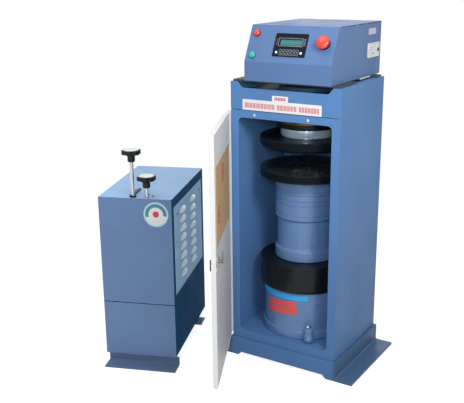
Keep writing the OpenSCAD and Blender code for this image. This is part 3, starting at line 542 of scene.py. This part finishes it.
def plate(name, matrix, width, height, thick, material, body, radius):
    """A thin plate with round corners, its back on the matrix's plane."""
    segments = 4
    bm = bmesh.new()
    ring = []
    for sx, sy, first in ((1, 1, 0), (-1, 1, 90), (-1, -1, 180), (1, -1, 270)):
        for i in range(segments + 1):
            turn = math.radians(first + 90 * i / segments)
            x = sx * (width / 2 - radius) + radius * math.cos(turn)
            y = sy * (height / 2 - radius) + radius * math.sin(turn)
            ring.append(bm.verts.new((x, y, 0)))
    face = bm.faces.new(ring)
    up = bmesh.ops.extrude_face_region(bm, geom=[face])
    tops = [v for v in up["geom"] if isinstance(v, bmesh.types.BMVert)]
    bmesh.ops.translate(bm, verts=tops, vec=(0, 0, thick))
    bmesh.ops.recalc_face_normals(bm, faces=bm.faces)
    obj = finish_mesh(name, bm, matrix, material, body)
    add_bevel(obj, min(thick * 0.4, radius * 0.5))


def lathe(name, matrix, profile, material, body, steps=48):
    """A turned piece: profile is radius and height, from the bottom to the top."""
    bm = bmesh.new()
    rings = []
    for r, z in profile:
        if r < 1e-6:
            rings.append([bm.verts.new((0, 0, z))])
        else:
            rings.append([
                bm.verts.new((r * math.cos(math.tau * i / steps), r * math.sin(math.tau * i / steps), z))
                for i in range(steps)
            ])
    for low, high in zip(rings, rings[1:]):
        for i in range(steps):
            j = (i + 1) % steps
            corners = (low[i % len(low)], low[j % len(low)], high[j % len(high)], high[i % len(high)])
            corners = list(dict.fromkeys(corners))
            if len(corners) > 2:
                bm.faces.new(corners)
    bmesh.ops.recalc_face_normals(bm, faces=bm.faces)
    finish_mesh(name, bm, matrix, material, body)


def disc(name, matrix, radius, thick, material, body, inner=0.0, steps=64):
    """A flat round piece, or a ring with an inner radius."""
    edge = 0.0002
    profile = [(inner, 0), (radius, 0), (radius, thick - edge), (radius - edge, thick), (inner, thick)]
    if inner > 0:
        profile.append((inner, 0))
    lathe(name, matrix, profile, material, body, steps)


def screw(name, matrix, radius, body, material):
    """A pan-head screw with a cross recess, standing on the matrix's plane."""
    height = radius * 0.55
    bm = bmesh.new()
    steps = 32
    levels = ((1.0, 0.0), (1.0, 0.35), (0.86, 0.75), (0.55, 0.96), (0.30, 1.0))
    rings = [
        [
            bm.verts.new((
                radius * r * math.cos(math.tau * i / steps),
                radius * r * math.sin(math.tau * i / steps),
                height * z,
            ))
            for i in range(steps)
        ]
        for r, z in levels
    ]
    for low, high in zip(rings, rings[1:]):
        for i in range(steps):
            j = (i + 1) % steps
            bm.faces.new((low[i], low[j], high[j], high[i]))
    bm.faces.new(list(reversed(rings[0])))
    arm, wide, deep = radius * 0.52, radius * 0.13, height * 0.55
    outline = [
        (arm, -wide), (arm, wide), (wide, wide), (wide, arm), (-wide, arm), (-wide, wide),
        (-arm, wide), (-arm, -wide), (-wide, -wide), (-wide, -arm), (wide, -arm), (wide, -wide),
    ]
    rim = rings[-1]
    centre = bm.verts.new((0, 0, height - deep))
    cross = [bm.verts.new((x * 0.55, y * 0.55, height)) for x, y in outline]
    low = [bm.verts.new((x * 0.5, y * 0.5, height - deep)) for x, y in outline]
    count = len(cross)
    for i in range(count):
        j = (i + 1) % count
        bm.faces.new((cross[i], cross[j], low[j], low[i]))
        bm.faces.new((low[i], low[j], centre))
    bridge = [bm.edges.get((rim[i], rim[(i + 1) % steps])) for i in range(steps)]
    bridge += [bm.edges.get((cross[i], cross[(i + 1) % count])) for i in range(count)]
    bmesh.ops.bridge_loops(bm, edges=bridge)
    bmesh.ops.recalc_face_normals(bm, faces=bm.faces)
    finish_mesh(name, bm, matrix, material, body)


def bars(name, matrix, places, thick, material, body):
    """Low rectangular blocks on one plane, each given by its middle and size."""
    bm = bmesh.new()
    for x, y, w, h in places:
        for ring in (0, 1):
            z = thick * ring
            bm.verts.new((x - w / 2, y - h / 2, z))
            bm.verts.new((x + w / 2, y - h / 2, z))
            bm.verts.new((x + w / 2, y + h / 2, z))
            bm.verts.new((x - w / 2, y + h / 2, z))
        bm.verts.ensure_lookup_table()
        v = bm.verts[-8:]
        bm.faces.new((v[3], v[2], v[1], v[0]))
        bm.faces.new((v[4], v[5], v[6], v[7]))
        for i in range(4):
            j = (i + 1) % 4
            bm.faces.new((v[i], v[j], v[j + 4], v[i + 4]))
    finish_mesh(name, bm, matrix, material, body, smooth=False)


def band(name, radius, low, high, start, end, thick, material, body, tilt=0.0):
    """A strip laid round the jack's axis, from one angle to another."""
    steps = 40
    bm = bmesh.new()
    rows = []
    for i in range(steps + 1):
        angle = math.radians(start + (end - start) * i / steps)
        rise = tilt * radius * (angle - math.radians((start + end) / 2))
        column = []
        for r, z in ((radius, low), (radius + thick, low), (radius + thick, high), (radius, high)):
            column.append(bm.verts.new((r * math.cos(angle), r * math.sin(angle), z + rise)))
        rows.append(column)
    for a, b in zip(rows, rows[1:]):
        for i in range(4):
            j = (i + 1) % 4
            bm.faces.new((a[i], b[i], b[j], a[j]))
    bm.faces.new(rows[0])
    bm.faces.new(list(reversed(rows[-1])))
    bmesh.ops.recalc_face_normals(bm, faces=bm.faces)
    finish_mesh(name, bm, axis_matrix(), material, body, angle=30)


def arc(name, matrix, inner, outer, start, end, thick, material, body):
    """A flat part ring on the matrix's plane."""
    steps = 40
    bm = bmesh.new()
    rows = []
    for i in range(steps + 1):
        angle = math.radians(start + (end - start) * i / steps)
        rows.append([
            bm.verts.new((r * math.cos(angle), r * math.sin(angle), z))
            for r, z in ((inner, 0), (outer, 0), (outer, thick), (inner, thick))
        ])
    for a, b in zip(rows, rows[1:]):
        for i in range(4):
            j = (i + 1) % 4
            bm.faces.new((a[i], b[i], b[j], a[j]))
    bm.faces.new(rows[0])
    bm.faces.new(list(reversed(rows[-1])))
    bmesh.ops.recalc_face_normals(bm, faces=bm.faces)
    finish_mesh(name, bm, matrix, material, body, smooth=False)


# Sheet-metal housings, castings and turned parts with rounded edges
for name, width in (
    ("front_panel", 0.0012), ("top_cover", 0.0010), ("side_plate_left", 0.0010),
    ("side_plate_right", 0.0010), ("rear_panel", 0.0008), ("plinth_skirts", 0.0010),
    ("foot_angle_left", 0.0010), ("foot_angle_right", 0.0010), ("hinge_strip", 0.0008),
    ("console_shell", 0.0016), ("console_lid", 0.0014), ("console_rails", 0.0008),
    ("door_shell", 0.0012), ("door_liner", 0.0006), ("crosshead", 0.0012),
    ("pump_front_upper", 0.0010), ("pump_front_lower", 0.0010),
    ("pump_feet", 0.0010), ("socket_plate", 0.0012), ("display_module", 0.0008),
    ("lock_lever", 0.0008), ("latch_head", 0.0005), ("latch_cam", 0.0005),
    ("jack_cylinder", 0.0010), ("column_spacer", 0.0008), ("disc_1", 0.0006), ("disc_2", 0.0006),
    ("disc_3", 0.0006), ("disc_4", 0.0006), ("disc_5", 0.0005), ("ram_cover", 0.0010),
    ("upper_platen", 0.0010), ("ball_seat", 0.0005),
    ("seat_collar", 0.0006), ("brass_ring", 0.0004), ("top_flange", 0.0008),
    ("suspension_bolt", 0.0006), ("pressure_union", 0.0006), ("bleed_screw", 0.0005),
    ("stop_button", 0.0008), ("stop_collar", 0.0006), ("red_button", 0.0006),
    ("green_button", 0.0006), ("tall_rod_bar", 0.0005), ("short_rod_bar", 0.0005),
    ("hinge_fixed_1", 0.0005), ("hinge_fixed_2", 0.0005), ("hinge_moving_1", 0.0005),
    ("hinge_moving_2", 0.0005), ("rear_port", 0.0006),
):
    soften(name, width)
# the cabinet's upward faces take the lighter copy of its blue, a painted sheen
soften("pump_shell", 0.0014, top="pump_top_sheen")
soften("lower_platen", 0.0008, top="platen_face")
for name in ("tall_knob", "short_knob"):
    soften(name, 0.0022, 4)


# ---------------------------------------------------------------- labels and small parts
def frame_labels():
    """White name plate with a tab, filled with plain strokes, and two panel screws."""
    foil, corner = 0.0006, 0.001
    label_x, tab_x = -0.0085, -0.012
    label = facing(frame_matrix(), label_x, 0, 0.8468, "front")
    plate("name_plate", label, 0.267, 0.0325, foil, "plate", "machine", corner)
    stroke, half_gap, pitch, word_gap = (0.0025, 0.0155), 0.0022, 0.0096, 0.0066
    strokes = []
    x = -0.122
    for word in (11, 7, 7):
        for _ in range(word):
            strokes += [(x - half_gap, 0, *stroke), (x + half_gap, 0, *stroke)]
            x += pitch
        x += word_gap
    place = facing(frame_matrix(), label_x, -foil, 0.8455, "front")
    bars("name_plate_strokes", place, strokes, INK, "red_print", "machine")
    tab = facing(frame_matrix(), tab_x, 0, 0.8715, "front")
    plate("name_tab", tab, 0.054, 0.017, foil, "plate", "machine", corner)
    place = facing(frame_matrix(), tab_x, -foil, 0.8712, "front")
    marks = [(-0.0165 + 0.0055 * i, 0, 0.0036, 0.0095) for i in range(7)]
    bars("name_tab_strokes", place, marks, INK, "red_print", "machine")
    for i, x in enumerate((-0.100, 0.081)):
        spot = facing(frame_matrix(), x, 0, 0.8155, "front")
        screw(f"panel_screw_{i + 1}", spot, 0.005, "machine", "zinc")


def display_face():
    """Frame line, icons, outlined keys and two round pads of the display, in millimetres."""
    top = 3.0  # the module's face above the slope
    line = 1.1
    left, right, low, high = -39.0, 40.0, 51.0, 75.0
    wide, tall = right - left, high - low
    cx, cy = (left + right) / 2, (low + high) / 2
    edges = [
        (0, tall / 2, wide, line), (0, -tall / 2, wide, line),
        (-wide / 2, 0, line, tall), (wide / 2, 0, line, tall),
    ]
    edges = [tuple(v * MM for v in e) for e in edges]
    bars("display_frame_line", on_slope(cx, cy, top), edges, INK, "mark", "machine")
    icons = [(0, 8 - 5.2 * i, 3.0, 2.6) for i in range(4)]
    icons = [tuple(v * MM for v in e) for e in icons]
    bars("display_icons", on_slope(-44.5, 63, top), icons, INK, "icon", "machine")
    for i, y in enumerate((56.0, 63.5, 71.0)):
        spot = on_slope(46.0, y, top)
        disc(f"display_ring_{i + 1}", spot, 0.0030, 0.0003, "mark", "machine", 0.0021, 24)
    key_thick, rim_height = 0.0005, 0.3
    for row, y in enumerate((26.5, 37.0)):
        for col in range(6):
            x = -27.0 + 11.0 * col
            tag = f"{row + 1}_{col + 1}"
            spot = on_slope(x, y, top)
            plate(f"key_rim_{tag}", spot, 0.0090, 0.0078, key_thick, "mark", "machine", 0.0032)
            spot = on_slope(x, y, top + rim_height)
            plate(f"key_{tag}", spot, 0.0070, 0.0058, key_thick, "key", "machine", 0.0024)
    for i, x in enumerate((-40.2, 40.5)):
        spot = on_slope(x, 31.2, top)
        disc(f"round_pad_{i + 1}", spot, 0.0038, 0.0008, "white", "machine", steps=32)


def console_details():
    """Lamp rims, a foil, the lid's seam, the socket, flat lid screws and a pad under the housing."""
    inner, outer, height = 0.0102, 0.0116, 0.0022
    profile = [(inner, 0), (outer, 0), (outer, 0.0014), (0.0111, height), (inner, height), (inner, 0)]
    for name, y, material in (("red", 88.1, "lamp_rim"), ("green", 19.4, "green_rim")):
        lathe(name + "_bezel", on_slope(-119, y), profile, material, "machine")
    lilac = facing(console_matrix(), CONSOLE_HALF, 0.288, 0.1345, "right")
    plate("side_foil", lilac, 0.058, 0.019, 0.0004, "lilac", "machine", 0.001)
    side = facing(console_matrix(), CONSOLE_HALF, 0, 0, "right")
    seam = 0.1600
    dashes = [(0.075, seam, 0.022, 0.0016), (0.128, seam, 0.062, 0.0014)]
    dashes += [(0.205, seam, 0.050, 0.0014), (0.300, seam, 0.104, 0.0018)]
    bars("lid_seam", side, dashes, 0.00012, "rubber", "machine")
    socket = side @ Matrix.Translation((0.299, 0.0775, 0.003))
    rim_thick = 0.0008
    rim = socket @ Matrix.Translation((0.031, -0.0015, 0))
    plate("socket_rim", rim, 0.020, 0.026, rim_thick, "white", "machine", 0.003)
    marks = [
        (-0.020, 0.008, 0.020, 0.0016), (-0.020, 0.002, 0.026, 0.0012), (-0.006, -0.011, 0.010, 0.004),
    ]
    bars("socket_marks", socket, marks, INK, "mark", "machine")
    # painted shade: a dark disc where the socket's hole lies
    well = rim @ Matrix.Translation((0, 0, rim_thick))
    disc("socket_hole_shade", well, 0.0068, INK, "rubber", "machine", steps=32)
    for i, (x, y) in enumerate(((-0.136, 0.143), (-0.136, 0.250), (0.136, 0.090), (0.136, 0.300))):
        spot = facing(console_matrix(), x, y, CONSOLE_HEIGHT, "top")
        disc(f"lid_screw_{i + 1}", spot, 0.0036, INK, "black", "machine", steps=32)
    pad_thick = 0.0052
    pad = facing(console_matrix(), 0.1305, 0.282, -pad_thick, "top")
    plate("console_pad", pad, 0.024, 0.134, pad_thick, "white", "machine", 0.0015)


def door_details():
    """Card with plain strokes on the inner face, and the latch's slit and screws."""
    card_x, card_z, card_thick = 0.1985, 0.614, 0.0009
    card = facing(door_matrix(), card_x, DOOR_BACK, card_z, "back")
    plate("door_card", card, 0.307, 0.232, card_thick, "tan", "door", 0.002)
    marks = []
    for x, y in ((-5.5, 47), (-105.5, -51)):
        for i in range(4):
            marks.append(((x + 9 * (i % 2)) * MM, (y + 13 * i) * MM, 0.024, 0.0105))
    print_place = facing(door_matrix(), card_x, DOOR_BACK + card_thick, card_z, "back")
    bars("door_card_marks", print_place, marks, INK, "rust", "door")
    # painted shade: a dark sheet where the latch's slit opens in the door's edge
    slit = facing(door_matrix(), DOOR_EDGE, -0.0070, 0.458, "right")
    plate("latch_slit_shade", slit, 0.0036, 0.034, INK, "rubber", "door", 0.0012)
    for i, z in enumerate((0.475, 0.441)):
        spot = facing(door_matrix(), 0.366, DOOR_BACK, z, "back")
        screw(f"latch_screw_{i + 1}", spot, 0.0032, "door", "zinc")


def pump_details():
    """Round foil, the screws of the side and the top, and the caps of the knobs."""
    foil = facing(pump_matrix(), 0.1875, 0, 0.5148, "front")
    foil_thick, middle_thick, inner, outer = 0.0005, 0.0003, 0.0235, 0.0345
    disc("round_foil", foil, 0.0400, foil_thick, "ice", "machine")
    face = foil @ Matrix.Translation((0, 0, foil_thick))
    arc("round_foil_arc", face, inner, outer, -8, 196, INK, "teal_print", "machine")
    disc("round_foil_middle", face, inner, middle_thick, "plate", "machine")
    arc("round_foil_lower", face, inner, outer, 200, 348, INK, "plate", "machine")
    dot = face @ Matrix.Translation((0, 0.001, middle_thick))
    disc("round_foil_dot", dot, 0.0100, INK, "red_print", "machine")
    screw_radius = 0.0034
    on_panel, on_shell = PUMP_WIDTH + PANEL_THICK, PUMP_WIDTH
    side_screws = (
        (on_panel, 0.062, 0.501), (on_panel, 0.350, 0.503),
        (on_shell, 0.078, 0.220), (on_shell, 0.326, 0.219),
    )
    for i, place in enumerate(side_screws):
        spot = facing(pump_matrix(), *place, "right")
        screw(f"side_screw_{i + 1}", spot, screw_radius, "machine", "black")
    for i, (x, y) in enumerate(((0.152, 0.050), (0.093, 0.054), (0.170, 0.034))):
        spot = facing(pump_matrix(), x, y, PUMP_HEIGHT, "top")
        screw(f"top_screw_{i + 1}", spot, screw_radius, "machine", "black")
    profile = [
        (0.0225, 0), (0.0240, 0.0003), (0.0241, 0.0010), (0.0230, 0.0016), (0.0160, 0.0021), (0, 0.0024),
    ]
    for name, x, z in (("tall", 0.110, 0.714), ("short", 0.1555, 0.633)):
        spot = facing(pump_matrix(), x, 0.018, z, "top")
        lathe(name + "_cap", spot, profile, "cap", BODY_OF[name + "_knob"])


def jack_details():
    """Tape under the cover, and a bare red foil in two rows that run up to the right."""
    jack = BODY_OF["jack_cylinder"]
    radius, thick, tilt = 0.1330, 0.0004, 0.095
    band("jack_tape", radius, 0.2245, 0.2405, -205, -59.2, thick, "cyan", jack)
    band("jack_foil_upper", radius, 0.1962, 0.2152, -124.5, -76.0, thick, "red_foil", jack, tilt)
    band("jack_foil_lower", radius, 0.1705, 0.1936, -122.5, -73.8, thick, "red_foil", jack, tilt)


HOOD_STEPS, HOOD_LEVELS = 20, 7
HOOD_LENGTH, HOOD_HEIGHT, HOOD_OUT, HOOD_THICK = 70.0, 15.0, 6.5, 1.2
PANEL_FRONT = PANEL_THICK / MM


def hood_skin(bm, centre, base, inset):
    """Rows of corners over one skin of a hood, which closes in at its ends, in millimetres."""
    rows = []
    for i in range(HOOD_STEPS + 1):
        t = 2 * i / HOOD_STEPS - 1
        end = max(0.0, 1 - abs(t) ** 3) ** 0.7
        top = HOOD_HEIGHT * (0.25 + 0.75 * end) - inset
        row = []
        for k in range(HOOD_LEVELS + 1):
            v = k / HOOD_LEVELS
            x = max(-0.5, HOOD_OUT * end * math.sin(v * math.pi / 2) - inset)
            y, z = centre + t * HOOD_LENGTH / 2, base + top * (1 - v)
            row.append(bm.verts.new(((PANEL_FRONT + x) * MM, y * MM, z * MM)))
        rows.append(row)
    return rows


def louvres():
    """Panel with two columns of pressed hoods, their faces in a painted highlight, over dark strips that
    are the slots and painted shadow, in millimetres.
    """
    near, wide, tall, bottom, inset = 24.0, 360.0, 293.0, 240.0, 0.2
    pitch, count, columns = 31.0, 8, (0.286, 0.647)
    first = bottom + (tall - (count - 1) * pitch) / 2 - 2.5
    rear = -2.0
    bm = bmesh.new()
    y0, y1, z0, z1 = near + inset, near + wide - inset, bottom + inset, bottom + tall - inset
    corners = [(y0, z0), (y1, z0), (y1, z1), (y0, z1)]
    back = [bm.verts.new((rear * MM, y * MM, z * MM)) for y, z in corners]
    face = [bm.verts.new((PANEL_FRONT * MM, y * MM, z * MM)) for y, z in corners]
    bm.faces.new(face)
    bm.faces.new(list(reversed(back)))
    for i in range(4):
        j = (i + 1) % 4
        bm.faces.new((back[i], back[j], face[j], face[i]))
    slot_shadows, hoods = [], []
    for column in columns:
        centre = near + wide * column
        for row in range(count):
            base = first + row * pitch
            # dark strip under each hood: the slot, shifted right and reaching below the lip as painted
            # shadow
            slot_shadows.append(((centre + 5) * MM, (base - 0.5) * MM, 0.068, 0.007))
            outer = hood_skin(bm, centre, base, 0.0)
            inner = hood_skin(bm, centre, base, HOOD_THICK)
            for rows, order in ((outer, 1), (inner, -1)):
                for a, b in zip(rows, rows[1:]):
                    for k in range(HOOD_LEVELS):
                        quad = (a[k], b[k], b[k + 1], a[k + 1])
                        hoods.append(bm.faces.new(quad[::order]))
            for i in range(HOOD_STEPS):
                lip = (outer[i][-1], outer[i + 1][-1], inner[i + 1][-1], inner[i][-1])
                hoods.append(bm.faces.new(lip))
    # the hoods' faces take the near-white copy, a painted highlight
    for face in hoods:
        face.material_index = 1
    bmesh.ops.recalc_face_normals(bm, faces=bm.faces)
    place = pump_matrix() @ Matrix.Translation((PUMP_WIDTH, 0, 0))
    panel = finish_mesh("louvre_panel_body", bm, place, "louvre", "machine", angle=50)
    panel.data.materials.append(M["hood"])
    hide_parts("louvre_panel")
    slot_shadow_place = facing(pump_matrix(), PUMP_WIDTH + PANEL_THICK, 0, 0, "right")
    bars("louvre_slot_shadows", slot_shadow_place, slot_shadows, 0.0001, "slot_shadow", "machine")


frame_labels()
display_face()
console_details()
door_details()
pump_details()
jack_details()
louvres()


# ---------------------------------------------------------------- floor, light and view
SHADE_LEFT = 0.90  # share of the floor's own shading that is seen near the machine
GLOW_LEFT = 0.16  # share of its glow that gives way to it
FLOOR_HALF, FLOOR_DROP = 120, 0.0005
ROOM_LIGHT = 0.30


def floor_material():
    """White in the camera's view and in reflections, with soft shadows near the machine."""
    t = Tree("floor")
    apart = t.nodes.new("ShaderNodeVectorMath")
    apart.operation = "LENGTH"
    t.link(t.coord.outputs["Object"], apart.inputs[0])
    near = t.spread(apart.outputs["Value"], 1, 0, 0.9, 2.6)
    path = t.nodes.new("ShaderNodeLightPath")
    seen = t.math("MAXIMUM", path.outputs["Is Camera Ray"], path.outputs["Is Glossy Ray"])
    seen = t.math("MAXIMUM", seen, path.outputs["Is Transmission Ray"])
    plain = t.mix(t.spread(t.noise(3, 3), 0, 1), (0.49, 0.49, 0.49), (0.51, 0.51, 0.51))
    hidden = t.math("SUBTRACT", 1, t.math("MULTIPLY", near, SHADE_LEFT))
    kept = t.math("SUBTRACT", 1, t.math("MULTIPLY", seen, hidden))
    diffuse = t.nodes.new("ShaderNodeBsdfDiffuse")
    t.link(t.mix(kept, (0, 0, 0), plain), diffuse.inputs["Color"])
    glow = t.nodes.new("ShaderNodeEmission")
    white = t.math("SUBTRACT", 1, t.math("MULTIPLY", near, GLOW_LEFT))
    t.link(t.math("MULTIPLY", seen, white), glow.inputs["Strength"])
    both = t.nodes.new("ShaderNodeAddShader")
    t.link(diffuse.outputs[0], both.inputs[0])
    t.link(glow.outputs[0], both.inputs[1])
    t.link(both.outputs[0], t.out.inputs["Surface"])
    return t.mat


def make_floor():
    """A floor that reaches past the picture's edges, just under the machine."""
    bm = bmesh.new()
    bmesh.ops.create_grid(bm, x_segments=8, y_segments=8, size=FLOOR_HALF)
    mesh = bpy.data.meshes.new("floor")
    bm.to_mesh(mesh)
    bm.free()
    floor = bpy.data.objects.new("floor", mesh)
    bpy.context.scene.collection.objects.link(floor)
    mesh.materials.append(floor_material())
    floor.location = (0, 0, -FLOOR_DROP)


def make_world():
    """White where it is seen, directly or in a reflection, and a weaker room light elsewhere."""
    world = bpy.data.worlds.new("studio")
    bpy.context.scene.world = world
    world.use_nodes = True
    nodes, links = world.node_tree.nodes, world.node_tree.links
    nodes.clear()
    out = nodes.new("ShaderNodeOutputWorld")
    seen_light = nodes.new("ShaderNodeBackground")
    seen_light.inputs["Strength"].default_value = 1.0
    seen_light.inputs["Color"].default_value = (1, 1, 1, 1)
    room_light = nodes.new("ShaderNodeBackground")
    room_light.inputs["Strength"].default_value = ROOM_LIGHT
    room_light.inputs["Color"].default_value = (0.96, 0.98, 1, 1)
    path = nodes.new("ShaderNodeLightPath")
    seen = path.outputs["Is Camera Ray"]
    for kind in ("Is Glossy Ray", "Is Transmission Ray"):
        node = nodes.new("ShaderNodeMath")
        node.operation = "MAXIMUM"
        links.new(seen, node.inputs[0])
        links.new(path.outputs[kind], node.inputs[1])
        seen = node.outputs[0]
    both = nodes.new("ShaderNodeMixShader")
    links.new(seen, both.inputs["Fac"])
    links.new(room_light.outputs[0], both.inputs[1])
    links.new(seen_light.outputs[0], both.inputs[2])
    links.new(both.outputs[0], out.inputs["Surface"])


def area_light(name, place, target, size, power):
    """A round lamp that looks at a point."""
    data = bpy.data.lights.new(name, "AREA")
    data.shape = "DISK"
    data.size = size
    data.energy = power
    lamp = bpy.data.objects.new(name, data)
    bpy.context.scene.collection.objects.link(lamp)
    lamp.location = place
    lamp.rotation_euler = (Vector(target) - Vector(place)).to_track_quat("-Z", "Y").to_euler()


make_floor()
make_world()
area_light("front", at(0.95, -2.05, 1.35), at(0, 0, 0.6), 0.5, 21.4)
area_light("right", at(1.05, -0.75, 1.55), at(0.1, 0, 0.7), 0.5, 12.9)
area_light("top", at(-0.6, -0.6, 3.0), at(-0.2, 0.1, 0.5), 2.0, 23.1)
area_light("rear", at(-1.2, 2.8, 0.75), at(-0.1, 0.2, 0.5), 1.2, 16.0)

view = bpy.context.scene.view_settings
view.view_transform = "Standard"
